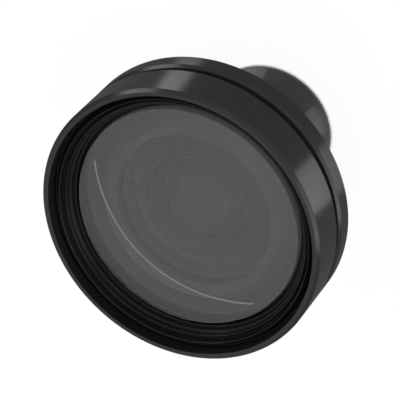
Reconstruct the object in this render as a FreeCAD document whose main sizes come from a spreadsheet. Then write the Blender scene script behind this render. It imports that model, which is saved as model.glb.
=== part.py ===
import FreeCAD, Part
import math
import os
import re

import Sketcher

# Wide-angle lens for an S-mount camera board.
# The optical axis is +Z, the front glass faces up, and the lens stands on the end of its barrel at Z = 0.
# Every size is in millimetres.

SIZES = {
    # Body, from the barrel's end up
    "head_diameter": 25.4,
    "barrel_diameter": 12.0,
    "barrel_length": 13.4,
    "barrel_lead_length": 0.58,
    "barrel_lead_drop": 0.1,
    "barrel_end_chamfer": 0.12,
    "flange_thickness": 1.95,
    "flange_front_chamfer": 0.24,
    "flange_rear_chamfer": 0.2,
    "neck_chamfer": 0.12,
    "cup_wall": 0.95,
    "cup_rim_gap": 0.1,
    "front_seat_rise": 1.95,
    "front_seat_width": 1.65,
    "stack_shoulder_thickness": 1.0,
    "barrel_wall": 0.6,
    "seal_groove_inset": 0.45,
    "seal_groove_width": 0.8,
    "seal_groove_depth": 0.5,
    # Front ring: heights from the underside of its lip, depths from its face, widths from its rim inwards
    "ring_wall": 1.1,
    "ring_gap": 0.9,
    "ring_face_height": 2.9,
    "ring_chamfer": 0.27,
    "ring_rear_chamfer": 0.08,
    "rim_width": 0.6,
    "first_riser_width": 0.17,
    "first_valley_depth": 1.27,
    "first_ledge_width": 0.5,
    "first_crest_depth": 0.71,
    "second_riser_width": 0.12,
    "second_valley_depth": 1.44,
    "second_ledge_width": 0.32,
    "second_crest_depth": 1.18,
    "baffle_tread_width": 0.15,
    "lip_thickness": 0.4,
    # Front element
    "front_lens_shoulder_height": 2.0,
    "front_lens_step_width": 0.43,
    "front_lens_crown_taper": 0.06,
    "front_lens_front_radius": 29.4,
    "front_lens_rear_radius": 17.1,
    "front_lens_land_width": 1.15,
    "front_lens_centre_thickness": 2.03,
    "front_seal_bulge_radius": 0.3,
    "front_seal_flat": 0.4,
    # Second element and what holds it
    "second_lens_front_radius": 16.0,
    "second_lens_land_width": 0.5,
    "second_lens_rear_radius": 5.6,
    "second_lens_rear_aperture": 9.0,
    "second_lens_centre_thickness": 0.9,
    "second_retainer_wall": 1.4,
    "second_retainer_gap": 0.17,
    "second_lip_thickness": 0.25,
    "second_lip_width": 0.6,
    "second_lip_overlap": 0.45,
    "second_skirt_height": 1.0,
    # Stack of glass in the barrel, from its shoulder down
    "stack_land_margin": 0.2,
    "third_lens_edge": 1.6,
    "third_lens_front_radius": 9.5,
    "third_lens_rear_radius": 22.0,
    "front_spacer_length": 1.2,
    "front_spacer_exit": 6.4,
    "stop_thickness": 0.2,
    "stop_diameter": 3.6,
    "stop_bevel": 0.15,
    "stop_spacer_length": 0.7,
    "fourth_lens_edge": 1.1,
    "fourth_lens_front_radius": 16.0,
    "fourth_lens_rear_radius": 11.0,
    "middle_spacer_length": 1.2,
    "doublet_front_edge": 2.2,
    "doublet_front_radius": 16.0,
    "doublet_cemented_radius": 14.0,
    "doublet_rear_edge": 0.8,
    "doublet_rear_radius": 12.0,
    "rear_spacer_length": 0.9,
    "rear_lens_edge": 1.1,
    "rear_lens_front_radius": 20.0,
    "rear_lens_rear_radius": 10.0,
    # Retainer and filter at the barrel's end
    "filter_gap": 0.115,
    "filter_ledge_width": 0.45,
    "filter_thickness": 0.4,
    "spanner_slot_width": 0.8,
    "spanner_slot_depth": 0.45,
    # Fits and small edges shared by several pieces
    "foil_thickness": 0.06,
    "spacer_wall": 0.95,
    "lens_clearance": 0.05,
    "lip_clearance": 0.06,
    "thread_clearance": 0.05,
    "cement_thickness": 0.03,
    "glass_bevel": 0.1,
}

FUNCTIONS = ("sqrt", "min")


def half(expression):
    """Radius of a diameter."""
    return f"({expression}) / 2"


def sag(radius, aperture):
    """Height of a spherical face over its edge, for the radius of the sphere and the diameter of the edge."""
    return f"({radius} - sqrt({radius} * {radius} - ({aperture}) * ({aperture}) / 4))"


# Diameters, each from the one it goes in, from the head inwards and then from the barrel inwards
RING_BORE = "head_diameter - 2 * ring_wall"
NECK = f"{RING_BORE} - 2 * thread_clearance"
CUP = f"{NECK} - 2 * cup_wall"
FRONT_LENS = f"{CUP} - 2 * lens_clearance"
FRONT_CROWN = f"{FRONT_LENS} - 2 * front_lens_step_width"
FRONT_APERTURE = f"{FRONT_LENS} - 2 * front_lens_land_width"
SEAL = f"{FRONT_LENS} - 2 * seal_groove_inset"
SECOND_BORE = f"{FRONT_LENS} - 2 * front_seat_width"
SECOND_RETAINER = f"{SECOND_BORE} - 2 * thread_clearance"
SECOND_SKIRT = f"{SECOND_RETAINER} - 2 * second_retainer_wall"
SECOND_LENS = f"{SECOND_SKIRT} - 2 * lens_clearance"
SECOND_APERTURE = f"{SECOND_LENS} - 2 * second_lens_land_width"
SECOND_LIP_RIM = f"{SECOND_SKIRT} + 2 * second_lip_width - 2 * second_lip_overlap"
STACK_BORE = "barrel_diameter - 2 * barrel_wall"
STACK_PIECE = f"{STACK_BORE} - 2 * lens_clearance"
STACK_HOLE = f"{STACK_PIECE} - 2 * spacer_wall"
STACK_APERTURE = f"{STACK_HOLE} - 2 * stack_land_margin"
CLEAR_HOLE = f"{STACK_APERTURE} + 2 * lens_clearance"
FILTER = f"{CLEAR_HOLE} + 2 * filter_ledge_width"

# Thickness of the second lens at its edge, and how high it can sit under the hollow of the front lens:
# the retainer keeps its gap from the hollow at the rim of its lip or of its skirt, whichever comes nearer
SECOND_EDGE = (sag("second_lens_rear_radius", "second_lens_rear_aperture") + " + second_lens_centre_thickness - "
               + sag("second_lens_front_radius", SECOND_APERTURE))
OVER_LIP = f"{sag('front_lens_rear_radius', SECOND_LIP_RIM)} + second_lip_thickness + {SECOND_EDGE}"
OVER_SKIRT = f"{sag('front_lens_rear_radius', SECOND_RETAINER)} + second_skirt_height"
SECOND_RISE = (sag("front_lens_rear_radius", FRONT_APERTURE) + " - second_retainer_gap + "
               + f"min(-({OVER_LIP}); -({OVER_SKIRT}))")

# Heights above the barrel's end at which the pieces seat
FLANGE_FRONT = "barrel_length + flange_thickness"
FRONT_SEAT = "barrel_length + front_seat_rise"
LIP_SEAT = f"{FRONT_SEAT} + front_lens_shoulder_height"
SECOND_SEAT = f"{FRONT_SEAT} + {SECOND_RISE}"
SECOND_FLOOR = f"{SECOND_SEAT} - foil_thickness"
STACK_TOP = f"{SECOND_FLOOR} - stack_shoulder_thickness"

doc = FreeCAD.newDocument("SMountLens")


def make_sheet():
    """Put the driving sizes in a sheet: a name in column A, a number with that name as alias in column B."""
    sheet = doc.addObject("Spreadsheet::Sheet", "Sizes")
    for row, (name, size) in enumerate(SIZES.items(), start=1):
        sheet.set(f"A{row}", name)
        sheet.set(f"B{row}", str(size))
        sheet.setAlias(f"B{row}", name)
    doc.recompute()
    return sheet


def in_sheet(expression):
    """Write each size named in an expression as a cell of the sheet."""
    def cell(word):
        name = word.group()
        return name if name in FUNCTIONS else f"Sizes.{name}"
    return re.sub(r"[a-z]\w*", cell, expression)


def number(expression):
    """Work out an expression of sizes now, for a first place that the sketch then holds by itself."""
    return float(sizes.evalExpression(expression))


def arc_between(start, end, centre):
    """Arc of less than half a turn about a centre, and whether it runs from start to end anticlockwise."""
    angles = [math.atan2(point.y - centre.y, point.x - centre.x) for point in (start, end)]
    anticlockwise = math.sin(angles[1] - angles[0]) > 0
    if not anticlockwise:
        angles.reverse()
    circle = Part.Circle(centre, FreeCAD.Vector(0, 0, 1), start.distanceToPoint(centre))
    return Part.ArcOfCircle(circle, *angles), anticlockwise


def origin_plane(body, role):
    """One of the body's own origin planes."""
    return next(feature for feature in body.Origin.OriginFeatures if feature.Role == role)


def draw_outline(sketch, outline):
    """Draw a closed outline and hold every corner and arc to the sheet.

    A corner is (radius, height). A corner that an arc leaves also has the arc's radius, and its centre's
    radius and height.
    """
    corners = [FreeCAD.Vector(number(corner[0]), number(corner[1]), 0) for corner in outline]
    ends = []
    for index, corner in enumerate(outline):
        start, end = corners[index], corners[(index + 1) % len(corners)]
        forward = True
        if len(corner) > 2:
            centre = FreeCAD.Vector(number(corner[3]), number(corner[4]), 0)
            side, forward = arc_between(start, end, centre)
        else:
            side = Part.LineSegment(start, end)
        sketch.addGeometry(side, False)
        ends.append((1, 2) if forward else (2, 1))
    for index, corner in enumerate(outline):
        before = index - 1 if index else len(outline) - 1
        first = ends[index][0]
        sketch.addConstraint(Sketcher.Constraint("Coincident", before, ends[before][1], index, first))
        hold(sketch, "DistanceX", index, first, corner[0], -2)
        hold(sketch, "DistanceY", index, first, corner[1], -1)
        if len(corner) > 2:
            bound = sketch.addConstraint(Sketcher.Constraint("Radius", index, number(corner[2])))
            sketch.setExpression(f"Constraints[{bound}]", in_sheet(corner[2]))


def hold(sketch, kind, side, end, expression, axis):
    """Hold the end of a side at a distance from the sketch's origin, or on the axis where that is nothing."""
    if expression == "0":
        sketch.addConstraint(Sketcher.Constraint("PointOnObject", side, end, axis))
        return
    bound = sketch.addConstraint(Sketcher.Constraint(kind, -1, 1, side, end, number(expression)))
    sketch.setExpression(f"Constraints[{bound}]", in_sheet(expression))


def turned(name, seat, outline):
    """A piece turned about the optical axis, with its own height 0 on its seat."""
    body = doc.addObject("PartDesign::Body", name)
    body.Label = name
    sketch = body.newObject("Sketcher::SketchObject", name + "_section")
    sketch.AttachmentSupport = (origin_plane(body, "XZ_Plane"), "")
    sketch.MapMode = "FlatFace"
    draw_outline(sketch, outline)
    revolution = body.newObject("PartDesign::Revolution", name + "_turning")
    revolution.Profile = sketch
    revolution.ReferenceAxis = (sketch, ["V_Axis"])
    revolution.Angle = 360
    if seat != "0":
        body.setExpression("Placement.Base.z", in_sheet(seat))
    doc.recompute()
    return body


def cut_spanner_slot(body, length):
    """Mill a slot up into a ring's lower face, which leaves a notch on each side for a spanner."""
    sketch = body.newObject("Sketcher::SketchObject", body.Name + "_slot_outline")
    sketch.AttachmentSupport = (origin_plane(body, "XY_Plane"), "")
    sketch.MapMode = "FlatFace"
    x, y = half(length), half("spanner_slot_width")
    draw_outline(sketch, [(f"-({x})", f"-({y})"), (x, f"-({y})"), (x, y), (f"-({x})", y)])
    volume = body.Shape.Volume
    slot = body.newObject("PartDesign::Pocket", body.Name + "_slot")
    slot.Profile = sketch
    slot.Reversed = True
    slot.setExpression("Length", in_sheet("spanner_slot_depth"))
    doc.recompute()
    if body.Shape.Volume >= volume:
        raise RuntimeError(f"the slot of {body.Label} cuts nothing")


def lens(name, seat, diameter, edge, front, rear):
    """A round lens with a ground edge, and inside each end's flat a spherical face.

    Each face is (radius of the sphere, diameter of its edge, "convex" or "concave").
    """
    front_radius, front_aperture, front_form = front
    rear_radius, rear_aperture, rear_form = rear
    rise = sag(front_radius, front_aperture)
    drop = sag(rear_radius, rear_aperture)
    if front_form == "convex":
        front_vertex, front_centre = f"{edge} + {rise}", f"{edge} + {rise} - {front_radius}"
    else:
        front_vertex, front_centre = f"{edge} - {rise}", f"{edge} - {rise} + {front_radius}"
    if rear_form == "convex":
        rear_vertex, rear_centre = f"-{drop}", f"{rear_radius} - {drop}"
    else:
        rear_vertex, rear_centre = drop, f"{drop} - {rear_radius}"
    rim = half(diameter)
    return turned(name, seat, [
        ("0", rear_vertex, rear_radius, "0", rear_centre),
        (half(rear_aperture), "0"),
        (f"{rim} - glass_bevel", "0"),
        (rim, "glass_bevel"),
        (rim, f"{edge} - glass_bevel"),
        (f"{rim} - glass_bevel", edge),
        (half(front_aperture), edge, front_radius, "0", front_centre),
        ("0", front_vertex),
    ])


def make_main_body():
    """Flange and threaded barrel turned as one piece, with a cup for the front glass and a bore for the rest."""
    barrel = half("barrel_diameter")
    head = half("head_diameter")
    neck = half(NECK)
    cup = half(CUP)
    cup_top = f"{LIP_SEAT} - cup_rim_gap"
    groove_inside = half(f"{SEAL} - seal_groove_width")
    groove_outside = half(f"{SEAL} + seal_groove_width")
    groove_floor = f"{FRONT_SEAT} - seal_groove_depth"
    second_bore = half(SECOND_BORE)
    shoulder = half(STACK_HOLE)
    bore = half(STACK_BORE)
    return turned("main_body", "0", [
        (f"{bore} + barrel_end_chamfer", "0"),
        (f"{barrel} - barrel_lead_drop - barrel_end_chamfer", "0"),
        (f"{barrel} - barrel_lead_drop", "barrel_end_chamfer"),
        (barrel, "barrel_lead_length"),
        (barrel, "barrel_length"),
        (f"{head} - flange_rear_chamfer", "barrel_length"),
        (head, "barrel_length + flange_rear_chamfer"),
        (head, f"{FLANGE_FRONT} - flange_front_chamfer"),
        (f"{head} - flange_front_chamfer", FLANGE_FRONT),
        (neck, FLANGE_FRONT),
        (neck, f"{cup_top} - neck_chamfer"),
        (f"{neck} - neck_chamfer", cup_top),
        (f"{cup} + neck_chamfer", cup_top),
        (cup, f"{cup_top} - neck_chamfer"),
        (cup, FRONT_SEAT),
        (groove_outside, FRONT_SEAT),
        (groove_outside, groove_floor),
        (groove_inside, groove_floor),
        (groove_inside, FRONT_SEAT),
        (second_bore, FRONT_SEAT),
        (second_bore, SECOND_FLOOR),
        (shoulder, SECOND_FLOOR),
        (shoulder, STACK_TOP),
        (bore, STACK_TOP),
        (bore, "barrel_end_chamfer"),
    ])


def make_front_ring():
    """Screwed ring whose lip clamps the front glass, with a saw-toothed entrance that traps stray light."""
    head = half("head_diameter")
    bore = half(RING_BORE)
    lip = half(f"{FRONT_CROWN} + 2 * lip_clearance")
    face = "ring_face_height"
    rear = f"{FLANGE_FRONT} + ring_gap - ({LIP_SEAT})"
    rim = f"{head} - rim_width"
    first_valley = f"{rim} - first_riser_width"
    first_crest = f"{first_valley} - first_ledge_width"
    second_valley = f"{first_crest} - second_riser_width"
    crest = f"{second_valley} - second_ledge_width"
    crest_height = f"{face} - second_crest_depth"
    treads = 3
    outline = [
        (f"{bore} + ring_rear_chamfer", rear),
        (f"{head} - ring_rear_chamfer", rear),
        (head, f"{rear} + ring_rear_chamfer"),
        (head, f"{face} - ring_chamfer"),
        (f"{head} - ring_chamfer", face),
        (rim, face),
        (first_valley, f"{face} - first_valley_depth"),
        (first_crest, f"{face} - first_crest_depth"),
        (second_valley, f"{face} - second_valley_depth"),
        (crest, crest_height),
    ]
    for tread in range(1, treads + 1):
        inner = f"{crest} - ({crest} - {lip}) * {tread} / {treads}"
        height = f"{crest_height} - ({crest_height} - lip_thickness) * {tread} / {treads}"
        outline.append((f"{inner} + baffle_tread_width", height))
        outline.append((inner, height))
    outline += [(lip, "0"), (bore, "0"), (bore, f"{rear} + ring_rear_chamfer")]
    return turned("front_ring", LIP_SEAT, outline)


def make_front_element():
    """Large negative meniscus with a ground step, on which the ring's lip bears."""
    rim = half(FRONT_LENS)
    crown = half(FRONT_CROWN)
    crown_top = f"{crown} - front_lens_crown_taper"
    rear_rise = sag("front_lens_rear_radius", FRONT_APERTURE)
    front_rise = sag("front_lens_front_radius", f"2 * ({crown_top})")
    vertex = f"{rear_rise} + front_lens_centre_thickness"
    return turned("front_element", FRONT_SEAT, [
        ("0", rear_rise, "front_lens_rear_radius", "0", f"{rear_rise} - front_lens_rear_radius"),
        (half(FRONT_APERTURE), "0"),
        (f"{rim} - 2 * glass_bevel", "0"),
        (rim, "2 * glass_bevel"),
        (rim, "front_lens_shoulder_height"),
        (crown, "front_lens_shoulder_height"),
        (crown_top, f"{vertex} - {front_rise}", "front_lens_front_radius", "0",
         f"{vertex} - front_lens_front_radius"),
        ("0", vertex),
    ])


def make_front_o_ring():
    """Rubber ring pressed flat between the groove's floor and the front glass."""
    centre = half(SEAL)
    inside = f"{centre} - {half('front_seal_flat')}"
    outside = f"{centre} + {half('front_seal_flat')}"
    radius = "front_seal_bulge_radius"
    middle = half("seal_groove_depth")
    inset = f"sqrt({radius} * {radius} - seal_groove_depth * seal_groove_depth / 4)"
    return turned("front_o_ring", f"{FRONT_SEAT} - seal_groove_depth", [
        (inside, "0"),
        (outside, "0", radius, f"{outside} - {inset}", middle),
        (outside, "seal_groove_depth"),
        (inside, "seal_groove_depth", radius, f"{inside} + {inset}", middle),
    ])


def make_second_group():
    """Second meniscus on its foil, and the screwed ring that reaches over its edge to hold it."""
    foil("front_baffle", SECOND_FLOOR, STACK_HOLE, SECOND_LENS)
    lens("second_element", SECOND_SEAT, SECOND_LENS, SECOND_EDGE,
         ("second_lens_front_radius", SECOND_APERTURE, "convex"),
         ("second_lens_rear_radius", "second_lens_rear_aperture", "concave"))
    outside = half(SECOND_RETAINER)
    skirt = half(SECOND_SKIRT)
    skirt_foot = f"2 * glass_bevel - ({SECOND_EDGE})"
    lip = f"{half(SECOND_LENS)} - second_lip_overlap"
    turned("second_retainer", f"{SECOND_SEAT} + {SECOND_EDGE}", [
        (lip, "0"),
        (skirt, "0"),
        (skirt, skirt_foot),
        (outside, skirt_foot),
        (outside, f"second_skirt_height - ({SECOND_EDGE})"),
        (half(SECOND_LIP_RIM), "second_lip_thickness"),
        (lip, "second_lip_thickness"),
    ])


def foil(name, seat, hole, diameter):
    """Thin black foil with a hole, which stops light at the rim of a lens."""
    return turned(name, seat, [
        (half(hole), "0"), (half(diameter), "0"),
        (half(diameter), "foil_thickness"), (half(hole), "foil_thickness"),
    ])


def spacer(name, seat, length, front_hole, rear_hole):
    """Turned ring that keeps two lenses apart, with a plain or tapered hole."""
    rim = half(STACK_PIECE)
    return turned(name, seat, [
        (half(rear_hole), "0"),
        (rim, "0"),
        (rim, length),
        (half(front_hole), length),
    ])


def make_barrel_stack():
    """Glass, spacers and stop loaded from the barrel's end against the shoulder, in order from the front."""
    diameter = STACK_PIECE
    clear = STACK_APERTURE
    hole = STACK_HOLE
    seat = f"{STACK_TOP} - third_lens_edge"
    lens("third_element", seat, diameter, "third_lens_edge",
         ("third_lens_front_radius", clear, "convex"), ("third_lens_rear_radius", clear, "convex"))
    seat += " - front_spacer_length"
    spacer("front_spacer", seat, "front_spacer_length", hole, "front_spacer_exit")
    seat += " - stop_thickness"
    turned("aperture_stop", seat, [
        (half("stop_diameter + 2 * stop_bevel"), "0"),
        (half(diameter), "0"),
        (half(diameter), "stop_thickness"),
        (half("stop_diameter"), "stop_thickness"),
    ])
    seat += " - stop_spacer_length"
    spacer("stop_spacer", seat, "stop_spacer_length", hole, hole)
    seat += " - fourth_lens_edge"
    lens("fourth_element", seat, diameter, "fourth_lens_edge",
         ("fourth_lens_front_radius", clear, "convex"), ("fourth_lens_rear_radius", clear, "convex"))
    seat += " - middle_spacer_length"
    spacer("middle_spacer", seat, "middle_spacer_length", hole, hole)
    seat += " - doublet_front_edge"
    bond = f"{diameter} - 4 * glass_bevel"
    lens("doublet_front", seat, diameter, "doublet_front_edge",
         ("doublet_front_radius", clear, "concave"), ("doublet_cemented_radius", bond, "concave"))
    seat += " - doublet_rear_edge - cement_thickness"
    lens("doublet_rear", seat, diameter, "doublet_rear_edge",
         ("doublet_cemented_radius", bond, "convex"), ("doublet_rear_radius", clear, "convex"))
    seat += " - foil_thickness"
    foil("rear_baffle", seat, CLEAR_HOLE, diameter)
    seat += " - rear_spacer_length"
    spacer("rear_spacer", seat, "rear_spacer_length", hole, hole)
    seat += " - rear_lens_edge"
    lens("rear_element", seat, diameter, "rear_lens_edge",
         ("rear_lens_front_radius", clear, "concave"), ("rear_lens_rear_radius", clear, "convex"))
    return seat


def make_rear_retainer(stack_end):
    """Screwed ring that locks the stack, with the infrared filter bonded in its recess."""
    outside = half(f"{STACK_BORE} - 2 * thread_clearance")
    hole = half(CLEAR_HOLE)
    recess = half(f"{FILTER} + 2 * lens_clearance")
    length = f"filter_thickness + filter_gap + {sag('rear_lens_rear_radius', STACK_APERTURE)}"
    seat = f"{stack_end} - ({length})"
    retainer = turned("rear_retainer", seat, [
        (recess, "0"),
        (outside, "0"),
        (outside, length),
        (hole, length),
        (hole, "filter_thickness"),
        (recess, "filter_thickness"),
    ])
    cut_spanner_slot(retainer, STACK_BORE)
    turned("ir_filter", seat, [
        ("0", "0"),
        (f"{half(FILTER)} - glass_bevel", "0"),
        (half(FILTER), "glass_bevel"),
        (half(FILTER), "filter_thickness"),
        ("0", "filter_thickness"),
    ])


def check_and_export():
    """Stop at anything that failed, and write each piece to a file of its own."""
    doc.recompute()
    for item in doc.Objects:
        if "Invalid" in item.State or "Error" in item.State:
            raise RuntimeError(f"{item.Label} failed: {item.State}")
    pieces = [item for item in doc.Objects if item.isDerivedFrom("PartDesign::Body")]
    for piece in pieces:
        if piece.Shape.isNull() or not piece.Shape.isValid() or len(piece.Shape.Solids) != 1:
            raise RuntimeError(f"{piece.Label} is not one sound solid")
    os.makedirs("parts", exist_ok=True)
    for piece in pieces:
        piece.Shape.exportStep(os.path.join("parts", piece.Label + ".step"))
        box = piece.Shape.BoundBox
        print(f"{piece.Label:16} {piece.Shape.Volume:9.2f} mm3  z {box.ZMin:7.3f} to {box.ZMax:7.3f}  "
              f"r {box.XMax:7.3f}")


sizes = make_sheet()
make_main_body()
make_front_o_ring()
make_front_element()
make_front_ring()
make_second_group()
make_rear_retainer(make_barrel_stack())
check_and_export()
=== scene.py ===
import math

import bpy
import numpy as np
from bpy.props import FloatProperty, FloatVectorProperty, IntProperty, PointerProperty
from mathutils import Matrix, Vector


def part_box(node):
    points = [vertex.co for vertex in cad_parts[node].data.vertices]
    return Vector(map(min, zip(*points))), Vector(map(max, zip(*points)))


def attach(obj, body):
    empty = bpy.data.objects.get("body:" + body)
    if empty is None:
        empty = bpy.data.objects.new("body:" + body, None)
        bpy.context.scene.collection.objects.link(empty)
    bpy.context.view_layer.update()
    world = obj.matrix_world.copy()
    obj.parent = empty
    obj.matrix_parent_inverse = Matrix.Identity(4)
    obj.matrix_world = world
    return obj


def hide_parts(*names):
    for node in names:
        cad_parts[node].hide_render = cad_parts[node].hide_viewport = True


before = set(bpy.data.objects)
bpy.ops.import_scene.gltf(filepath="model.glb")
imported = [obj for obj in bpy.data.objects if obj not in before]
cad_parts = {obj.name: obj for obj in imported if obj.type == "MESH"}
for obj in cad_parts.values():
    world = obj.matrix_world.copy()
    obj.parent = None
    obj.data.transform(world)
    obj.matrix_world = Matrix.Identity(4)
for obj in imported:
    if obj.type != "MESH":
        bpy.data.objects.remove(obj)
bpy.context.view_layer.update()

bl_info = {
    "name": "Board lens finish",
    "version": (1, 0, 0),
    "blender": (4, 5, 0),
    "location": "View3D > Sidebar > Lens",
    "description": "Surfaces, glass, light and view of a wide-angle lens with an S-mount barrel",
    "category": "Object",
}

BODY = "root"
MM = 0.001

# The picture: its side in pixels, the focal length in pixels and the centre of the front ring in it
PICTURE_SIDE = 400
FOCAL_PIXELS = 2270.0
RING_CENTRE_X, RING_CENTRE_Y = 178.51, 227.02
SENSOR_WIDTH = 36.0

# Finishes of a turned piece, as the numbers of its materials. The ring has FACE outside and EDGE in
# its entrance. A lens has FACE on its polished faces and EDGE on its ground ones, and only the front
# glass has the last three
FACE, EDGE, HOLLOW, LAND, RIM = range(5)
GLASS_EDGE = 0.02 * MM  # rounding of a ground edge

# Refractive indices
DOME_INDEX, COAT_INDEX, CROWN_INDEX, FLINT_INDEX = 1.5, 1.72, 1.52, 1.67

# Surroundings as reflections see them: brightness at the horizon, and how much brighter overhead
SKY_LOW, SKY_RISE = 0.1, 1.14
# Share of the shadow that the floor's glow hides, and where the painted pool of light that reflections
# see stops fading, in barrel radii
FLOOR_GLOW, FLOOR_FADE = 0.9, 2.2


def half_width(node):
    """Radius of a turned node."""
    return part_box(node)[1].x


def foot(node):
    """Lowest height of a node."""
    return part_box(node)[0].z


def top(node):
    """Greatest height of a node."""
    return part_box(node)[1].z


def length(name, description, default):
    """A length that a user may change, given in millimetres."""
    return FloatProperty(name=name, description=description, default=default * MM, unit="LENGTH",
                         subtype="DISTANCE", precision=5)


def glass_form(name, default):
    """Edge thickness, front radius and rear radius of a lens, given in millimetres."""
    return FloatVectorProperty(name=name, size=3, default=tuple(value * MM for value in default),
                               description="Edge thickness, front and rear radius; hollow is negative",
                               unit="LENGTH", subtype="XYZ", precision=5)


def colour(name, description, default):
    """A surface colour that a user may change."""
    return FloatVectorProperty(name=name, description=description, default=default, size=3,
                               subtype="COLOR", min=0.0, max=1.0)


class RingSizes(bpy.types.PropertyGroup):
    """Front ring: depths from its face, widths from its rim inwards"""
    wall: length("Wall", "Thickness of the wall round the thread", 1.1)
    chamfer: length("Front chamfer", "Chamfer of the front edge", 0.27)
    rear_chamfer: length("Rear chamfer", "Chamfer of the rear edges", 0.08)
    rim_width: length("Rim", "Width of the flat front face", 0.6)
    riser_width: length("First riser", "Slope of the first riser", 0.17)
    valley_depth: length("First valley", "Depth of the first valley", 1.27)
    ledge_width: length("First ledge", "Width of the first ledge", 0.5)
    crest_depth: length("First crest", "Depth of the first crest", 0.71)
    inner_riser_width: length("Second riser", "Slope of the second riser", 0.12)
    inner_valley_depth: length("Second valley", "Depth of the second valley", 1.44)
    inner_ledge_width: length("Second ledge", "Width of the second ledge", 0.32)
    inner_crest_depth: length("Second crest", "Depth of the second crest", 1.18)
    tread_width: length("Tread", "Width of a tread of the inner steps", 0.15)
    tread_count: IntProperty(name="Treads", description="Steps down to the lip", default=3, min=1)
    lip_height: length("Lip", "Height of the lip's edge", 0.4)
    lip_gap: length("Lip gap", "Gap between the lip and the glass", 0.06)
    face_height: length("Face height", "Height of the face over the underside of the lip", 2.9)
    edge: length("Edge rounding", "Rounding that deburring leaves on each edge", 0.03)


class BodySizes(bpy.types.PropertyGroup):
    """Flange, cup and barrel"""
    barrel_radius: length("Barrel", "Radius of the barrel", 6.0)
    barrel_length: length("Barrel length", "Length of the barrel", 13.4)
    lead_length: length("Lead", "Length of the lead-in at the end", 0.58)
    lead_drop: length("Lead drop", "How much narrower the end is", 0.1)
    end_chamfer: length("End chamfer", "Chamfer of the end", 0.12)
    barrel_wall: length("Barrel wall", "Wall round the stack of glass", 0.6)
    flange_thickness: length("Flange", "Thickness of the flange", 1.95)
    flange_front_chamfer: length("Flange front chamfer", "Chamfer of the front edge", 0.24)
    flange_rear_chamfer: length("Flange rear chamfer", "Chamfer of the rear edge", 0.2)
    thread_clearance: length("Thread clearance", "Radial gap at a screwed joint", 0.05)
    cup_wall: length("Cup wall", "Wall of the cup round the front glass", 0.95)
    neck_chamfer: length("Neck chamfer", "Chamfers of the cup's rim", 0.12)
    seal_inset: length("Seal inset", "Centre of the seal's groove from the edge of the glass", 0.45)
    seal_width: length("Seal width", "Width of the seal's groove", 0.8)
    seal_depth: length("Seal depth", "Depth of the seal's groove", 0.5)
    shoulder_thickness: length("Shoulder", "Thickness of the shoulder over the stack", 1.0)
    spacer_wall: length("Spacer wall", "Wall of the front spacer under the shoulder", 0.95)
    edge: length("Edge rounding", "Rounding that deburring leaves on each edge", 0.03)


class GlassSizes(bpy.types.PropertyGroup):
    """Polished and ground faces of the glass"""
    front_radius: length("Front face", "Radius of the domed face", 29.4)
    rear_radius: length("Rear face", "Radius of the hollow face", 17.1)
    land_width: length("Land", "Flat between the hollow and the edge", 1.15)
    shoulder_height: length("Shoulder", "Height of the ground step", 2.0)
    step_width: length("Step", "Width of the ground step", 0.43)
    crown_taper: length("Crown taper", "Taper of the crown's wall", 0.06)
    centre_thickness: length("Centre", "Thickness on the axis", 2.03)
    bevel: length("Bevel", "Bevel of a ground edge", 0.1)
    hollow_bevel: length("Hollow's bevel", "Height of the bevel round the hollow", 0.12)
    clear_radius: length("Clear radius", "Radius of the polished faces in the barrel", 4.2)
    second_centre: length("Second lens", "Thickness of the second lens on the axis", 0.9)
    second_front: length("Second lens front", "Radius of its domed face", 16.0)
    second_rear: length("Second lens rear", "Radius of its hollow face", 5.6)
    second_land: length("Second lens land", "Flat round its domed face", 0.5)
    second_hollow: length("Second lens hollow", "Radius of the edge of its hollow", 4.5)
    third: glass_form("Third lens", (1.6, 9.5, 22.0))
    fourth: glass_form("Fourth lens", (1.1, 16.0, 11.0))
    pair_front: glass_form("Front of the pair", (2.2, -16.0, -14.0))
    pair_rear: glass_form("Rear of the pair", (0.8, 14.0, 12.0))
    last: glass_form("Last lens", (1.1, -20.0, 10.0))


class FinishColours(bpy.types.PropertyGroup):
    """Colours of the finishes"""
    anodised: colour("Black anodising", "Dyed oxide on the outside", (0.013, 0.013, 0.0133))
    matt: colour("Matt black", "Blackened inside", (0.004, 0.004, 0.004))
    retainer: colour("Retainer", "Ring round the second lens", (0.05, 0.05, 0.05))
    ink: colour("Blackened glass edge", "Ink on ground glass", (0.02, 0.02, 0.02))
    rim_wall: colour("Ground rim", "Outer wall of the front glass", (0.05, 0.05, 0.05))
    crown_wall: colour("Ground crown", "Step and crown's wall of the front glass", (0.3, 0.3, 0.3))
    rubber: colour("Rubber", "Seal", (0.02, 0.02, 0.02))
    floor: colour("Floor", "Floor under the object", (0.95, 0.95, 0.95))


class StageSizes(bpy.types.PropertyGroup):
    """View and light"""
    tilt: FloatProperty(name="Tilt", description="Angle between the view and the lens's axis",
                        default=math.radians(37.44), subtype="ANGLE")
    turn: FloatProperty(name="Turn", description="Direction in which the axis leans in the picture",
                        default=math.radians(227.83), subtype="ANGLE")
    distance: length("Distance", "Distance from the camera to the front of the ring", 189.37)
    floor_radius: length("Floor radius", "Radius of the floor", 900.0)
    key_power: FloatProperty(name="Key light", description="Power of the broad lamp", default=0.65,
                             unit="POWER")
    rim_power: FloatProperty(name="Rim light", description="Power of the narrow lamp", default=0.27,
                             unit="POWER")
    strip_power: FloatProperty(name="Strip light", description="Power of the broad strip",
                               default=0.001, unit="POWER")
    surround: FloatProperty(name="Surroundings", description="Strength of the soft light all round",
                            default=1.05)


def arc_points(start, end, centre, trim_start, trim_end, steps):
    """Points and outward normals on an arc about the axis, cut back by a length at each end."""
    radius = np.linalg.norm(start - centre)
    first, last = (math.atan2(point[1] - centre[1], point[0]) for point in (start, end))
    sense = math.copysign(1.0, math.sin(last - first))
    first, last = first + sense * trim_start / radius, last - sense * trim_end / radius
    angles = np.linspace(first, last, steps)
    outward = np.column_stack((np.cos(angles), np.sin(angles)))
    return centre + radius * outward, sense * outward


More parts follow.
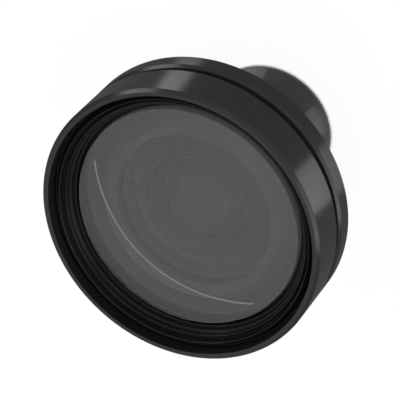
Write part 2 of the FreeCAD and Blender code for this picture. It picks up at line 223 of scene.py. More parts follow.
def turn_between(first, second):
    """Sine of the turn from one direction to another times their lengths, above 0 anticlockwise."""
    return first[0] * second[1] - first[1] * second[0]


def tangent(point, centre, start, end):
    """Direction of a side at one of its points: along the chord, or square to the arc's radius."""
    if centre is None:
        return (end - start) / np.linalg.norm(end - start)
    spoke = (point - centre) / np.linalg.norm(point - centre)
    sense = math.copysign(1.0, turn_between(start - centre, end - centre))
    return sense * np.array((-spoke[1], spoke[0]))


def corner_points(point, into, out, edge, steps):
    """Rounding of a corner: points, outward normals and how much of each side it takes.

    The sides turn by the angle t. The rounding's centre lies r / cos(t / 2) from the corner on the side
    that the outline turns to, and each side is cut back by r tan(t / 2). The normal turns evenly.
    """
    turn = math.atan2(turn_between(into, out), np.dot(into, out))
    reach = edge * math.tan(abs(turn) / 2)
    heading = math.atan2(into[1], into[0]) - math.pi / 2
    angles = heading + np.linspace(0.0, turn, steps)
    normals = np.column_stack((np.cos(angles), np.sin(angles)))
    start = point - into * reach
    bend = math.copysign(edge, turn)
    return start + bend * (normals - normals[0]), normals, reach


def section(corners, edge, edge_finish, rounding_steps=4, arc_steps=40):
    """Section of a turned piece from its corners, anticlockwise: points, outward normals and finishes.

    A corner is (radius, height), or (radius, height, centre) where an arc about the axis leaves it,
    whose centre is at that height. A fourth value is the finish of the side that leaves it. Without it
    an arc has the finish FACE and a straight side EDGE. Corners on the axis stay sharp. Every other one
    is rounded by the edge radius and has the edge finish.
    """
    count = len(corners)
    spots = [np.array(corner[:2], float) for corner in corners]
    heights = [corner[2] if len(corner) > 2 else None for corner in corners]
    centres = [None if height is None else np.array((0.0, height)) for height in heights]
    sides = [EDGE if height is None else FACE for height in heights]
    for index, corner in enumerate(corners):
        if len(corner) > 3:
            sides[index] = corner[3]
    roundings = []
    for index, spot in enumerate(spots):
        after, before = spots[(index + 1) % count], spots[index - 1]
        out = tangent(spot, centres[index], spot, after)
        into = tangent(spot, centres[index - 1], before, spot)
        if spot[0] == 0.0:
            up = 1.0 if index else -1.0
            roundings.append((spot[None], np.array(((0.0, up),)), 0.0))
        else:
            roundings.append(corner_points(spot, into, out, edge, rounding_steps))
    points, normals, finishes = [], [], []
    for index, (round_points, round_normals, reach) in enumerate(roundings):
        following = (index + 1) % count
        points.append(round_points)
        normals.append(round_normals)
        finishes.append(np.full(len(round_points), edge_finish))
        finishes[-1][-1] = sides[index]
        if centres[index] is not None:
            arc, outward = arc_points(spots[index], spots[following], centres[index], reach,
                                      roundings[following][2], arc_steps)
            points.append(arc[1:-1])
            normals.append(outward[1:-1])
            finishes.append(np.full(arc_steps - 2, sides[index]))
    return np.concatenate(points), np.concatenate(normals), np.concatenate(finishes)


def revolve(name, corners, edge, edge_finish=EDGE, sides=256):
    """Turned piece: the section (r, z) carried round the axis, as (r cos a, r sin a, z) for even a.

    A point on the axis is one vertex. The normal of a vertex is the section's own, carried round with
    it. The finish of a side is the number of its material.
    """
    points, normals, finishes = section(corners, edge, edge_finish)
    rows = len(points)
    angles = np.arange(sides) * 2 * math.pi / sides
    ring = np.column_stack((np.cos(angles), np.sin(angles)))
    pole = points[:, 0] == 0.0
    size = np.where(pole, 1, sides)
    first = np.concatenate(([0], np.cumsum(size)[:-1]))
    around = np.arange(sides)

    def carried(values):
        grid = np.empty((rows, sides, 3))
        grid[..., 0:2] = values[:, None, 0:1] * ring
        grid[..., 2] = values[:, 1:2]
        return np.concatenate([grid[row, :size[row]] for row in range(rows)])

    coordinates, outward = carried(points), carried(normals)
    loops, totals, materials = [], [], []
    for row in range(rows):
        following = (row + 1) % rows
        if pole[row] and pole[following]:
            continue
        here, there = first[row] + around, first[following] + around
        if pole[row]:
            faces = np.column_stack((np.full(sides, first[row]), np.roll(there, -1), there))
        elif pole[following]:
            faces = np.column_stack((here, np.roll(here, -1), np.full(sides, first[following])))
        else:
            faces = np.column_stack((here, np.roll(here, -1), np.roll(there, -1), there))
        loops.append(faces.ravel())
        totals.append(np.full(sides, faces.shape[1]))
        materials.append(np.full(sides, finishes[row]))
    return make_mesh(name, coordinates, np.concatenate(loops), np.concatenate(totals), outward,
                     np.concatenate(materials))


def make_mesh(name, coordinates, loops, totals, outward, materials):
    """Mesh object from whole arrays.

    They are the vertices, the faces' corners in a row, how many each face has, the normal of each
    vertex and the material of each face.
    """
    mesh = bpy.data.meshes.new(name)
    mesh.vertices.add(len(coordinates))
    mesh.vertices.foreach_set("co", coordinates.astype(np.float32).ravel())
    mesh.loops.add(len(loops))
    mesh.loops.foreach_set("vertex_index", loops.astype(np.int32))
    mesh.polygons.add(len(totals))
    starts = np.concatenate(([0], np.cumsum(totals)[:-1]))
    mesh.polygons.foreach_set("loop_start", starts.astype(np.int32))
    mesh.update(calc_edges=True)
    mesh.polygons.foreach_set("use_smooth", np.ones(len(totals), bool))
    mesh.polygons.foreach_set("material_index", materials.astype(np.int32))
    mesh.normals_split_custom_set_from_vertices(outward.astype(np.float32))
    mesh.validate()
    piece = bpy.data.objects.new(name, mesh)
    bpy.context.scene.collection.objects.link(piece)
    return piece


def stand_in(piece, node, slot, *materials):
    """Let a piece stand for a node, with its materials in order.

    The slot is not used.
    """
    mesh = piece.data
    for material in materials:
        mesh.materials.append(material)
    if len(materials) == 1:
        mesh.polygons.foreach_set("material_index", np.zeros(len(mesh.polygons), np.int32))
    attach(piece, BODY)
    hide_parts(node)


def finish_node(node, material):
    """Give a CAD node a finish of its own."""
    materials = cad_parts[node].data.materials
    materials.clear()
    materials.append(material)


def link(tree, source, output, target, inlet):
    """Link one node's output to another node's input."""
    tree.links.new(source.outputs[output], target.inputs[inlet])


def math_node(tree, operation, *values):
    """A Math node whose inputs are numbers or (node, output) pairs."""
    node = tree.nodes.new("ShaderNodeMath")
    node.operation = operation
    for index, value in enumerate(values):
        if isinstance(value, tuple):
            link(tree, *value, node, index)
        else:
            node.inputs[index].default_value = value
    return node


def turning_group():
    """Marks of the turning tool as a height, and a slow cloudy value for roughness and colour.

    The height is a noise of one number, (r + lean z) / pitch, so that each mark is a full ring. The
    lean isn't 1, so that a chamfer has marks too.
    """
    name, lean = "turning_marks", 1.37
    if name in bpy.data.node_groups:
        return bpy.data.node_groups[name]
    tree = bpy.data.node_groups.new(name, "ShaderNodeTree")
    tree.interface.new_socket("Vector", in_out="INPUT", socket_type="NodeSocketVector")
    tree.interface.new_socket("Pitch", in_out="INPUT", socket_type="NodeSocketFloat")
    tree.interface.new_socket("Height", in_out="OUTPUT", socket_type="NodeSocketFloat")
    tree.interface.new_socket("Clouds", in_out="OUTPUT", socket_type="NodeSocketFloat")
    inlet, outlet = tree.nodes.new("NodeGroupInput"), tree.nodes.new("NodeGroupOutput")
    apart = tree.nodes.new("ShaderNodeSeparateXYZ")
    link(tree, inlet, "Vector", apart, 0)
    across = math_node(tree, "MULTIPLY", (apart, "X"), (apart, "X"))
    deep = math_node(tree, "MULTIPLY", (apart, "Y"), (apart, "Y"))
    radius = math_node(tree, "SQRT", (math_node(tree, "ADD", (across, 0), (deep, 0)), 0))
    place = math_node(tree, "MULTIPLY_ADD", (apart, "Z"), lean, (radius, 0))
    scaled = math_node(tree, "DIVIDE", (place, 0), (inlet, "Pitch"))
    marks = tree.nodes.new("ShaderNodeTexNoise")
    marks.noise_dimensions = "1D"
    marks.inputs["Scale"].default_value = 1.0
    marks.inputs["Detail"].default_value = 3.0
    marks.inputs["Roughness"].default_value = 0.7
    link(tree, scaled, 0, marks, "W")
    clouds = tree.nodes.new("ShaderNodeTexNoise")
    clouds.inputs["Scale"].default_value = 260.0
    clouds.inputs["Detail"].default_value = 4.0
    link(tree, inlet, "Vector", clouds, "Vector")
    link(tree, marks, 0, outlet, "Height")
    link(tree, clouds, 0, outlet, "Clouds")
    return tree


def new_material(name):
    """A new material, its tree, its Principled shader and a node with the object's coordinates."""
    material = bpy.data.materials.new(name)
    material.use_nodes = True
    tree = material.node_tree
    shader = tree.nodes["Principled BSDF"]
    place = tree.nodes.new("ShaderNodeTexCoord")
    return material, tree, shader, place


def vary_colour(tree, source, output, shader, base, spread):
    """Vary a shader's colour about its base by a share, as a node's output goes from 0 to 1."""
    shade = tree.nodes.new("ShaderNodeMix")
    shade.data_type = "RGBA"
    for inlet, share in (("A", 1 - spread), ("B", 1 + spread)):
        shade.inputs[inlet].default_value = (*(share * value for value in base), 1)
    link(tree, source, output, shade, "Factor")
    link(tree, shade, "Result", shader, "Base Color")


def black_metal(name, base, *, roughness, gloss, anisotropy, pitch, depth, cloudiness=0.04):
    """Dyed anodised aluminium with turning marks, glossier along the axis than round it."""
    if name in bpy.data.materials:
        return bpy.data.materials[name]
    material, tree, shader, place = new_material(name)
    marks = tree.nodes.new("ShaderNodeGroup")
    marks.node_tree = turning_group()
    marks.inputs["Pitch"].default_value = pitch * MM
    link(tree, place, "Object", marks, "Vector")
    bump = tree.nodes.new("ShaderNodeBump")
    bump.inputs["Distance"].default_value = depth * MM
    bump.inputs["Strength"].default_value = 1.0
    link(tree, marks, "Height", bump, "Height")
    link(tree, bump, 0, shader, "Normal")
    spread = tree.nodes.new("ShaderNodeMapRange")
    spread.inputs["To Min"].default_value = roughness - cloudiness
    spread.inputs["To Max"].default_value = roughness + cloudiness
    link(tree, marks, "Clouds", spread, "Value")
    link(tree, spread, 0, shader, "Roughness")
    vary_colour(tree, marks, "Clouds", shader, base, 0.15)
    round_axis = tree.nodes.new("ShaderNodeTangent")
    round_axis.direction_type = "RADIAL"
    round_axis.axis = "Z"
    link(tree, round_axis, 0, shader, "Tangent")
    shader.inputs["Anisotropic"].default_value = anisotropy
    shader.inputs["Anisotropic Rotation"].default_value = 0.25
    shader.inputs["Specular IOR Level"].default_value = gloss
    return material


def polished_glass(name, tint, index, reflection):
    """Polished glass with a trace of cleaning haze in its roughness.

    The tint colours what passes, and the reflection's colour is what a coating leaves of it.
    """
    if name in bpy.data.materials:
        return bpy.data.materials[name]
    material, tree, shader, place = new_material(name)
    haze = tree.nodes.new("ShaderNodeTexNoise")
    haze.inputs["Scale"].default_value = 180.0
    link(tree, place, "Object", haze, "Vector")
    spread = tree.nodes.new("ShaderNodeMapRange")
    spread.inputs["From Min"].default_value = 0.6
    spread.inputs["To Min"].default_value = 0.0
    spread.inputs["To Max"].default_value = 0.01
    link(tree, haze, 0, spread, "Value")
    link(tree, spread, 0, shader, "Roughness")
    shader.inputs["Base Color"].default_value = (*tint, 1)
    shader.inputs["Transmission Weight"].default_value = 1.0
    shader.inputs["IOR"].default_value = index
    shader.inputs["Specular Tint"].default_value = (*reflection, 1)
    return material


def grained_matt(name, base, roughness=0.8, scale=9000.0):
    """Matt surface with a fine grain in its colour, as on ground glass, rubber or foil."""
    if name in bpy.data.materials:
        return bpy.data.materials[name]
    material, tree, shader, place = new_material(name)
    grain = tree.nodes.new("ShaderNodeTexNoise")
    grain.inputs["Scale"].default_value = scale
    link(tree, place, "Object", grain, "Vector")
    vary_colour(tree, grain, 0, shader, base, 0.2)
    shader.inputs["Roughness"].default_value = roughness
    return material


def outside_black():
    """Finish of the ring and the body."""
    return black_metal("black_anodised", bpy.context.scene.lens_finish.anodised, roughness=0.28,
                       gloss=0.3, anisotropy=0.8, pitch=0.05, depth=0.0003)


def entrance_black():
    """Duller finish of the steps in the ring's entrance."""
    return black_metal("entrance_black", bpy.context.scene.lens_finish.matt, roughness=0.5,
                       gloss=0.12, anisotropy=0.3, pitch=0.05, depth=0.0003)


def retainer_black():
    """Finish of the ring that holds the second lens, a little lighter and glossier than the other inner
    black.
    """
    return black_metal("retainer_black", bpy.context.scene.lens_finish.retainer, roughness=0.5,
                       gloss=0.4, anisotropy=0.3, pitch=0.09, depth=0.0005)


def inside_black():
    """Finish of the spacers, the stop and the retainers."""
    return black_metal("matt_black", bpy.context.scene.lens_finish.matt, roughness=0.6,
                       gloss=0.05, anisotropy=0.3, pitch=0.09, depth=0.0005)


def inked_edge():
    """Finish of the ground edges in the barrel and of the front glass's land."""
    return grained_matt("blackened_edge", bpy.context.scene.lens_finish.ink)


def ground_rim():
    """Finish of the front glass's outer wall."""
    return grained_matt("ground_edge", bpy.context.scene.lens_finish.rim_wall)


def ground_crown():
    """Finish of the front glass's step and of the wall of its crown."""
    return grained_matt("clean_ground", bpy.context.scene.lens_finish.crown_wall)


def dome_glass(levelled=0.65):
    """Domed face of the front glass: slightly smoky, under a hard coat with a soft even shine.

    The coat's normal is the face's own, levelled towards the axis by a share, so that the far side of
    the dome shines as the near side does.
    """
    name = "dome_glass"
    if name in bpy.data.materials:
        return bpy.data.materials[name]
    material = polished_glass(name, (0.9, 0.9, 0.9), DOME_INDEX, (0.1, 0.1, 0.1))
    tree = material.node_tree
    shader = tree.nodes["Principled BSDF"]
    shader.inputs["Coat Weight"].default_value = 1.0
    shader.inputs["Coat Roughness"].default_value = 0.2
    shader.inputs["Coat IOR"].default_value = COAT_INDEX
    outward, level = tree.nodes.new("ShaderNodeNewGeometry"), tree.nodes.new("ShaderNodeVectorMath")
    level.operation = "MULTIPLY_ADD"
    level.inputs[1].default_value = (1 - levelled,) * 3
    level.inputs[2].default_value = (0.0, 0.0, levelled)
    link(tree, outward, "Normal", level, 0)
    link(tree, level, 0, shader, "Coat Normal")
    return material


def hollow_glass(line_start=0.45, line_end=0.999):
    """Hollow face of the front glass, with a coating that leaves a faint reflection.

    Seen from inside the glass it carries a painted highlight: an emission that glows as a thin line
    just short of total reflection, where the share that is reflected climbs from the line's start to
    its end.
    """
    name = "hollow_glass"
    if name in bpy.data.materials:
        return bpy.data.materials[name]
    material = polished_glass(name, (0.9, 0.9, 0.9), DOME_INDEX, (0.12, 0.12, 0.12))
    tree = material.node_tree
    # Painted highlight: a faint warm emission, shown only from inside the glass within the Fresnel band
    share, line = tree.nodes.new("ShaderNodeFresnel"), tree.nodes.new("ShaderNodeEmission")
    share.inputs["IOR"].default_value = DOME_INDEX
    line.inputs["Color"].default_value = (1.0, 0.96, 0.9, 1.0)
    line.inputs["Strength"].default_value = 0.14
    inside = tree.nodes.new("ShaderNodeNewGeometry")
    climbing = math_node(tree, "GREATER_THAN", (share, 0), line_start)
    short = math_node(tree, "LESS_THAN", (share, 0), line_end)
    band = math_node(tree, "MULTIPLY", (climbing, 0), (short, 0))
    seen = math_node(tree, "MULTIPLY", (band, 0), (inside, "Backfacing"))
    mix = tree.nodes.new("ShaderNodeMixShader")
    link(tree, seen, 0, mix, 0)
    link(tree, tree.nodes["Principled BSDF"], 0, mix, 1)
    link(tree, line, 0, mix, 2)
    link(tree, mix, 0, tree.nodes["Material Output"], "Surface")
    return material


def crown_glass():
    """Coated glass of the second lens and of those behind the stop, but for the front of the pair."""
    return polished_glass("crown_glass", (0.8, 0.81, 0.8), CROWN_INDEX, (0.2, 0.2, 0.18))


def green_glass():
    """Glass of the third lens, whose coating leaves a yellow-green glint."""
    return polished_glass("green_glass", (0.8, 0.81, 0.8), CROWN_INDEX, (0.33, 0.38, 0.06))


def flint_glass():
    """Denser glass of the front lens of the pair, with a faint straw tint."""
    return polished_glass("flint_glass", (0.8, 0.79, 0.77), FLINT_INDEX, (0.2, 0.2, 0.1))


class LENS_OT_front_ring(bpy.types.Operator):
    """Turn the front ring with its stepped entrance"""
    bl_idname = "lens.front_ring"
    bl_label = "Front ring"

    def execute(self, context):
        sizes, glass = context.scene.lens_ring, context.scene.lens_glass
        head, lip_seat = half_width("front_ring"), foot("front_element") + glass.shoulder_height
        bore = head - sizes.wall
        rear, face = foot("front_ring"), lip_seat + sizes.face_height
        lip = half_width("front_element") - glass.step_width + sizes.lip_gap
        rim = head - sizes.rim_width
        valley = rim - sizes.riser_width
        crest = valley - sizes.ledge_width
        inner_valley = crest - sizes.inner_riser_width
        inner_crest = inner_valley - sizes.inner_ledge_width
        crest_height, lip_height = face - sizes.inner_crest_depth, lip_seat + sizes.lip_height
        outside = [
            (bore + sizes.rear_chamfer, rear),
            (head - sizes.rear_chamfer, rear),
            (head, rear + sizes.rear_chamfer),
            (head, face - sizes.chamfer),
            (head - sizes.chamfer, face),
        ]
        corners = [(*corner, None, FACE) for corner in outside] + [
            (rim, face),
            (valley, face - sizes.valley_depth),
            (crest, face - sizes.crest_depth),
            (inner_valley, face - sizes.inner_valley_depth),
            (inner_crest, crest_height),
        ]
        for tread in range(1, sizes.tread_count + 1):
            share = tread / sizes.tread_count
            inner = inner_crest - (inner_crest - lip) * share
            height = crest_height - (crest_height - lip_height) * share
            corners += [(inner + sizes.tread_width, height), (inner, height)]
        corners += [(lip, lip_seat), (bore, lip_seat), (bore, rear + sizes.rear_chamfer)]
        piece = revolve("front_ring_turned", corners, sizes.edge, edge_finish=FACE)
        stand_in(piece, "front_ring", "ring_black", outside_black(), entrance_black())
        return {"FINISHED"}


class LENS_OT_main_body(bpy.types.Operator):
    """Turn the flange, the cup and the barrel as one piece"""
    bl_idname = "lens.main_body"
    bl_label = "Body"

    def execute(self, context):
        sizes = context.scene.lens_body
        head, barrel = half_width("main_body"), sizes.barrel_radius
        bore = barrel - sizes.barrel_wall
        front = sizes.barrel_length + sizes.flange_thickness
        seat = foot("front_element")
        neck = head - context.scene.lens_ring.wall - sizes.thread_clearance
        cup, cup_top = neck - sizes.cup_wall, top("main_body")
        seal = half_width("front_element") - sizes.seal_inset
        seal_in, seal_out = seal - sizes.seal_width / 2, seal + sizes.seal_width / 2
        second_bore = half_width("second_retainer") + sizes.thread_clearance
        floor = foot("front_baffle")
        hole = half_width("front_spacer") - sizes.spacer_wall
        corners = [
            (bore + sizes.end_chamfer, 0.0),
            (barrel - sizes.lead_drop - sizes.end_chamfer, 0.0),
            (barrel - sizes.lead_drop, sizes.end_chamfer),
            (barrel, sizes.lead_length),
            (barrel, sizes.barrel_length),
            (head - sizes.flange_rear_chamfer, sizes.barrel_length),
            (head, sizes.barrel_length + sizes.flange_rear_chamfer),
            (head, front - sizes.flange_front_chamfer),
            (head - sizes.flange_front_chamfer, front),
            (neck, front),
            (neck, cup_top - sizes.neck_chamfer),
            (neck - sizes.neck_chamfer, cup_top),
            (cup + sizes.neck_chamfer, cup_top),
            (cup, cup_top - sizes.neck_chamfer),
            (cup, seat),
            (seal_out, seat),
            (seal_out, seat - sizes.seal_depth),
            (seal_in, seat - sizes.seal_depth),
            (seal_in, seat),
            (second_bore, seat),
            (second_bore, floor),
            (hole, floor),
            (hole, floor - sizes.shoulder_thickness),
            (bore, floor - sizes.shoulder_thickness),
            (bore, sizes.end_chamfer),
        ]
        piece = revolve("body_turned", corners, sizes.edge)
        stand_in(piece, "main_body", "body_black", outside_black())
        return {"FINISHED"}


class LENS_OT_front_glass(bpy.types.Operator):
    """Make the large domed meniscus with its ground step"""
    bl_idname = "lens.front_glass"
    bl_label = "Front glass"

    def execute(self, context):
        sizes = context.scene.lens_glass
        seat, rim = foot("front_element"), half_width("front_element")
        crown = rim - sizes.step_width
        crown_top = crown - sizes.crown_taper
        aperture = rim - sizes.land_width
        rear_centre = seat - math.sqrt(sizes.rear_radius ** 2 - aperture ** 2)
        hollow = math.sqrt(sizes.rear_radius ** 2 - (seat + sizes.hollow_bevel - rear_centre) ** 2)
        vertex = rear_centre + sizes.rear_radius + sizes.centre_thickness
        front_centre = vertex - sizes.front_radius
        crown_height = front_centre + math.sqrt(sizes.front_radius ** 2 - crown_top ** 2)
        corners = [
            (0.0, rear_centre + sizes.rear_radius, rear_centre, HOLLOW),
            (hollow, seat + sizes.hollow_bevel, None, LAND),
            (aperture + sizes.hollow_bevel / 2, seat, None, LAND),
            (rim - 2 * sizes.bevel, seat, None, RIM),
            (rim, seat + 2 * sizes.bevel, None, RIM),
            (rim, seat + sizes.shoulder_height),
            (crown, seat + sizes.shoulder_height),
            (crown_top, crown_height, front_centre),
            (0.0, vertex),
        ]
        piece = revolve("front_glass", corners, GLASS_EDGE)
        stand_in(piece, "front_element", "front_glass",
                 dome_glass(), ground_crown(), hollow_glass(), inked_edge(), ground_rim())
        return {"FINISHED"}


def sag(radius, reach):
    """Depth of a spherical face over a disc of a radius."""
    return radius - math.sqrt(radius ** 2 - reach ** 2)


def lens_corners(rim, seat, form, front_clear, rear_clear, bevel):
    """Section of a lens with its lower edge on its seat: bevelled edge, lands and spherical faces.

    The centre of a domed face lies inside its vertex, and that of a hollow one, whose radius is
    negative, outside.
    """
    edge, front, rear = form
    front_centre = seat + edge - math.copysign(math.sqrt(front ** 2 - front_clear ** 2), front)
    rear_centre = seat + math.copysign(math.sqrt(rear ** 2 - rear_clear ** 2), rear)
    return [
        (0.0, rear_centre - rear, rear_centre),
        (rear_clear, seat),
        (rim - bevel, seat),
        (rim, seat + bevel),
        (rim, seat + edge - bevel),
        (rim - bevel, seat + edge),
        (front_clear, seat + edge, front_centre),
        (0.0, front_centre + front),
    ]


class LENS_OT_second_group(bpy.types.Operator):
    """Make the second lens and finish the screwed ring round it"""
    bl_idname = "lens.second_group"
    bl_label = "Second lens"

    def execute(self, context):
        sizes = context.scene.lens_glass
        rim, seat = half_width("second_element"), foot("second_element")
        front_clear, rear_clear = rim - sizes.second_land, sizes.second_hollow
        hollow, dome = sag(sizes.second_rear, rear_clear), sag(sizes.second_front, front_clear)
        form = (sizes.second_centre + hollow - dome, sizes.second_front, -sizes.second_rear)
        corners = lens_corners(rim, seat, form, front_clear, rear_clear, sizes.bevel)
        piece = revolve("second_glass", corners, GLASS_EDGE)
        stand_in(piece, "second_element", "inner_glass", crown_glass(), inked_edge())
        finish_node("second_retainer", retainer_black())
        return {"FINISHED"}


class LENS_OT_barrel_glass(bpy.types.Operator):
    """Make the lenses in the barrel"""
    bl_idname = "lens.barrel_glass"
    bl_label = "Glass in the barrel"

    def execute(self, context):
        sizes = context.scene.lens_glass
        rim, clear = half_width("third_element"), sizes.clear_radius
        bond = rim - 2 * sizes.bevel
        # Node, size, radius of each polished face, glass and slot
        stack = (
            ("third_element", "third", clear, clear, green_glass(), "inner_glass"),
            ("fourth_element", "fourth", clear, clear, crown_glass(), "inner_glass"),
            ("doublet_front", "pair_front", clear, bond, flint_glass(), "flint_glass"),
            ("doublet_rear", "pair_rear", bond, clear, crown_glass(), "inner_glass"),
            ("rear_element", "last", clear, clear, crown_glass(), "inner_glass"),
        )
        for node, size, front_clear, rear_clear, glass, slot in stack:
            form = getattr(sizes, size)
            rear = form[2]
            seat = foot(node) + (sag(rear, rear_clear) if rear > 0 else 0.0)
            corners = lens_corners(rim, seat, form, front_clear, rear_clear, sizes.bevel)
            piece = revolve(f"{size}_glass", corners, GLASS_EDGE, sides=128)
            stand_in(piece, node, slot, glass, inked_edge())
        return {"FINISHED"}


class LENS_OT_inner_pieces(bpy.types.Operator):
    """Finish the pieces that stay as they are: seal, foils, spacers, stop, retainers and filter"""
    bl_idname = "lens.inner_pieces"
    bl_label = "Inner pieces"

    def execute(self, context):
        colours = context.scene.lens_finish
        rubber = grained_matt("seal_rubber", colours.rubber, roughness=0.5, scale=1200.0)
        foil = grained_matt("black_foil", colours.matt, roughness=0.85, scale=4000.0)
        pane = polished_glass("filter_glass", (0.6, 0.72, 0.75), CROWN_INDEX, (0.3, 0.1, 0.1))
        metal = inside_black()
        finishes = {
            "front_o_ring": rubber, "front_baffle": foil, "rear_baffle": foil, "ir_filter": pane,
            "front_spacer": metal, "aperture_stop": metal, "stop_spacer": metal,
            "middle_spacer": metal, "rear_spacer": metal, "rear_retainer": metal,
        }
        for node, material in finishes.items():
            finish_node(node, material)
        return {"FINISHED"}


def sees_surroundings(tree):
    """A mask that is 1 where the camera, a reflection or a view through glass sees a surface."""
    path = tree.nodes.new("ShaderNodeLightPath")
    either = math_node(tree, "MAXIMUM", (path, "Is Camera Ray"), (path, "Is Glossy Ray"))
    return math_node(tree, "MAXIMUM", (either, 0), (path, "Is Transmission Ray"))


def light_surroundings(strength):
    """Soft light from all round, which shows as white and which reflections see brightest overhead."""
    world = bpy.data.worlds.new("surroundings")
    bpy.context.scene.world = world
    world.use_nodes = True
    tree = world.node_tree
    tree.nodes.clear()
    soft, shown = tree.nodes.new("ShaderNodeBackground"), tree.nodes.new("ShaderNodeBackground")
    soft.inputs["Strength"].default_value = strength
    for background in (soft, shown):
        background.inputs["Color"].default_value = (1.0, 1.0, 1.0, 1.0)
    mix, outlet = tree.nodes.new("ShaderNodeMixShader"), tree.nodes.new("ShaderNodeOutputWorld")
    way, apart = tree.nodes.new("ShaderNodeTexCoord"), tree.nodes.new("ShaderNodeSeparateXYZ")
    link(tree, way, "Generated", apart, 0)
    rise = math_node(tree, "MULTIPLY_ADD", (apart, "Z"), SKY_RISE, SKY_LOW)
    path = tree.nodes.new("ShaderNodeLightPath")
    bright = math_node(tree, "MAXIMUM", (rise, 0), (path, "Is Camera Ray"))
    link(tree, bright, 0, shown, "Strength")
    link(tree, sees_surroundings(tree), 0, mix, 0)
    link(tree, soft, 0, mix, 1)
    link(tree, shown, 0, mix, 2)
    link(tree, mix, 0, outlet, "Surface")


def lay_floor(radius, covered, base, sides=64):
    """Round pale floor at the barrel's end: a disc of even angles about the axis, one face.

    It shows as white, with a tenth of the object's shadow, apart from the covered middle under the
    barrel. Reflections see its glow dimmer, and least so by the barrel: a painted pool of light there
    that the barrel reflects.
    """
    angles = np.arange(sides) * 2 * math.pi / sides
    rim = np.column_stack((radius * np.cos(angles), radius * np.sin(angles), np.zeros(sides)))
    mesh = bpy.data.meshes.new("floor")
    mesh.from_pydata(rim.tolist(), [], [list(range(sides))])
    floor = bpy.data.objects.new("floor", mesh)
    bpy.context.scene.collection.objects.link(floor)
    material = bpy.data.materials.new("pale_floor")
    material.use_nodes = True
    tree = material.node_tree
    shader = tree.nodes["Principled BSDF"]
    shader.inputs["Base Color"].default_value = (*base, 1)
    shader.inputs["Roughness"].default_value = 0.9
    shader.inputs["Specular IOR Level"].default_value = 0.0
    glow, mix = tree.nodes.new("ShaderNodeEmission"), tree.nodes.new("ShaderNodeMixShader")
    path = tree.nodes.new("ShaderNodeLightPath")
    place, apart = tree.nodes.new("ShaderNodeTexCoord"), tree.nodes.new("ShaderNodeVectorMath")
    apart.operation = "LENGTH"
    link(tree, place, "Object", apart, 0)
    # Painted pool of light: reflections see the glow at half strength by the barrel, fading to an
    # eighth further out
    dimming = tree.nodes.new("ShaderNodeMapRange")
    link(tree, apart, "Value", dimming, "Value")
    dimming.inputs["From Min"].default_value = covered
    dimming.inputs["From Max"].default_value = FLOOR_FADE * covered
    dimming.inputs["To Min"].default_value = 0.5
    dimming.inputs["To Max"].default_value = 0.88
    dimmed = math_node(tree, "MULTIPLY", (path, "Is Glossy Ray"), (dimming, 0))
    link(tree, math_node(tree, "SUBTRACT", 1.0, (dimmed, 0)), 0, glow, "Strength")
    open_floor = math_node(tree, "GREATER_THAN", (apart, "Value"), covered)
    glow_here = math_node(tree, "MULTIPLY", (sees_surroundings(tree), 0), (open_floor, 0))
    weight = math_node(tree, "MULTIPLY", (glow_here, 0), FLOOR_GLOW)
    link(tree, weight, 0, mix, 0)
    link(tree, shader, 0, mix, 1)
    link(tree, glow, 0, mix, 2)
    link(tree, mix, 0, tree.nodes["Material Output"], "Surface")
    mesh.materials.append(material)


def hang_lamp(name, azimuth, elevation, distance, width, height, power, target):
    """Rectangular lamp at an azimuth, elevation and distance from the target, turned to it."""
    lamp = bpy.data.lights.new(name, "AREA")
    lamp.shape = "RECTANGLE"
    lamp.size, lamp.size_y, lamp.energy = width, height, power
    holder = bpy.data.objects.new(name, lamp)
    bpy.context.scene.collection.objects.link(holder)
    across, up = math.radians(azimuth), math.radians(elevation)
    level, rise = distance * math.cos(up), distance * math.sin(up)
    holder.location = target + np.array((level * math.cos(across), level * math.sin(across), rise))
    holder.rotation_euler = (math.pi / 2 - up, 0.0, across + math.pi / 2)
    holder.visible_camera = False


def aim_camera(stage, target_height):
    """Camera at the picture's viewing angle, with the ring's centre at its place in the picture.

    In the camera's own axes the lens's axis leans by the tilt towards the turn. The rows of the
    rotation are the lens's X, Y and Z there, and the ring's centre lies in its pixel's direction at the
    distance.
    """
    lean = math.sin(stage.tilt)
    towards = np.array((math.cos(stage.turn), math.sin(stage.turn), 0.0))
    axis = lean * towards + np.array((0.0, 0.0, math.cos(stage.tilt)))
    across = np.array((-towards[1], towards[0], 0.0))
    rotation = np.array((-across, -np.cross(axis, across), axis))
    middle = PICTURE_SIDE / 2
    centre = stage.distance * np.array(((RING_CENTRE_X - middle) / FOCAL_PIXELS,
                                        (middle - RING_CENTRE_Y) / FOCAL_PIXELS, -1.0))
    camera = bpy.data.cameras.new("camera")
    camera.sensor_width = SENSOR_WIDTH
    camera.lens = FOCAL_PIXELS / PICTURE_SIDE * SENSOR_WIDTH
    camera.clip_start, camera.clip_end = 0.005, 20.0
    holder = bpy.data.objects.new("camera", camera)
    bpy.context.scene.collection.objects.link(holder)
    place = np.eye(4)
    place[:3, :3] = rotation
    place[:3, 3] = np.array((0.0, 0.0, target_height)) - rotation @ centre
    holder.matrix_world = Matrix(place)
    bpy.context.scene.camera = holder


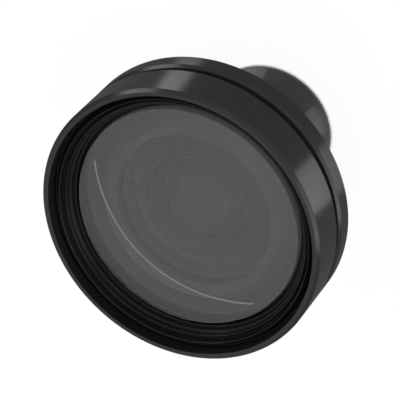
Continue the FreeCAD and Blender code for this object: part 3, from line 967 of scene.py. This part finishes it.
class LENS_OT_stage(bpy.types.Operator):
    """Lay the floor, light it and aim the camera"""
    bl_idname = "lens.stage"
    bl_label = "Stage"

    def execute(self, context):
        scene, stage = context.scene, context.scene.lens_stage
        light_surroundings(stage.surround)
        lay_floor(stage.floor_radius, scene.lens_body.barrel_radius, scene.lens_finish.floor)
        target, strip = np.array((0.0, 0.0, top("front_ring") / 2)), stage.strip_power
        # Name, azimuth and elevation in degrees, distance, width, height and power
        lamps = (
            ("broad_lamp", 214.0, 16.0, 0.35, 0.29, 0.08, stage.key_power),
            ("narrow_lamp", 352.0, 16.0, 0.35, 0.12, 0.08, stage.rim_power),
            ("broad_strip", 228.0, -17.0, 0.026, 0.012, 0.006, strip),
            ("narrow_strip", 331.0, -17.0, 0.026, 0.006, 0.006, strip / 2),
            ("barrel_broad_strip", 236.0, -52.0, 0.0122, 0.004, 0.003, strip / 28),
            ("barrel_narrow_strip", 322.0, -56.0, 0.0119, 0.003, 0.0015, strip / 110),
        )
        for lamp in lamps:
            hang_lamp(*lamp, target)
        aim_camera(stage, top("front_ring") - scene.lens_ring.chamfer)
        scene.view_settings.view_transform = "Standard"
        return {"FINISHED"}


OPERATORS = (LENS_OT_front_ring, LENS_OT_main_body, LENS_OT_front_glass, LENS_OT_second_group,
             LENS_OT_barrel_glass, LENS_OT_inner_pieces, LENS_OT_stage)
GROUPS = {"lens_ring": RingSizes, "lens_body": BodySizes, "lens_glass": GlassSizes,
          "lens_finish": FinishColours, "lens_stage": StageSizes}


class LENS_PT_finish(bpy.types.Panel):
    """Sizes, colours and steps of the lens"""
    bl_idname = "LENS_PT_finish"
    bl_label = "Lens"
    bl_space_type = "VIEW_3D"
    bl_region_type = "UI"
    bl_category = "Lens"

    def draw(self, context):
        for operator in OPERATORS:
            self.layout.operator(operator.bl_idname)
        for group, form in GROUPS.items():
            box = self.layout.box()
            for name in form.__annotations__:
                box.prop(getattr(context.scene, group), name)


def register():
    for group, form in GROUPS.items():
        bpy.utils.register_class(form)
        setattr(bpy.types.Scene, group, PointerProperty(type=form))
    for operator in OPERATORS:
        bpy.utils.register_class(operator)
    bpy.utils.register_class(LENS_PT_finish)


def unregister():
    bpy.utils.unregister_class(LENS_PT_finish)
    for operator in reversed(OPERATORS):
        bpy.utils.unregister_class(operator)
    for group, form in reversed(GROUPS.items()):
        delattr(bpy.types.Scene, group)
        bpy.utils.unregister_class(form)


def main():
    register()
    bpy.ops.lens.front_ring()
    bpy.ops.lens.main_body()
    bpy.ops.lens.front_glass()
    bpy.ops.lens.second_group()
    bpy.ops.lens.barrel_glass()
    bpy.ops.lens.inner_pieces()
    bpy.ops.lens.stage()


if __name__ == "__main__":
    main()
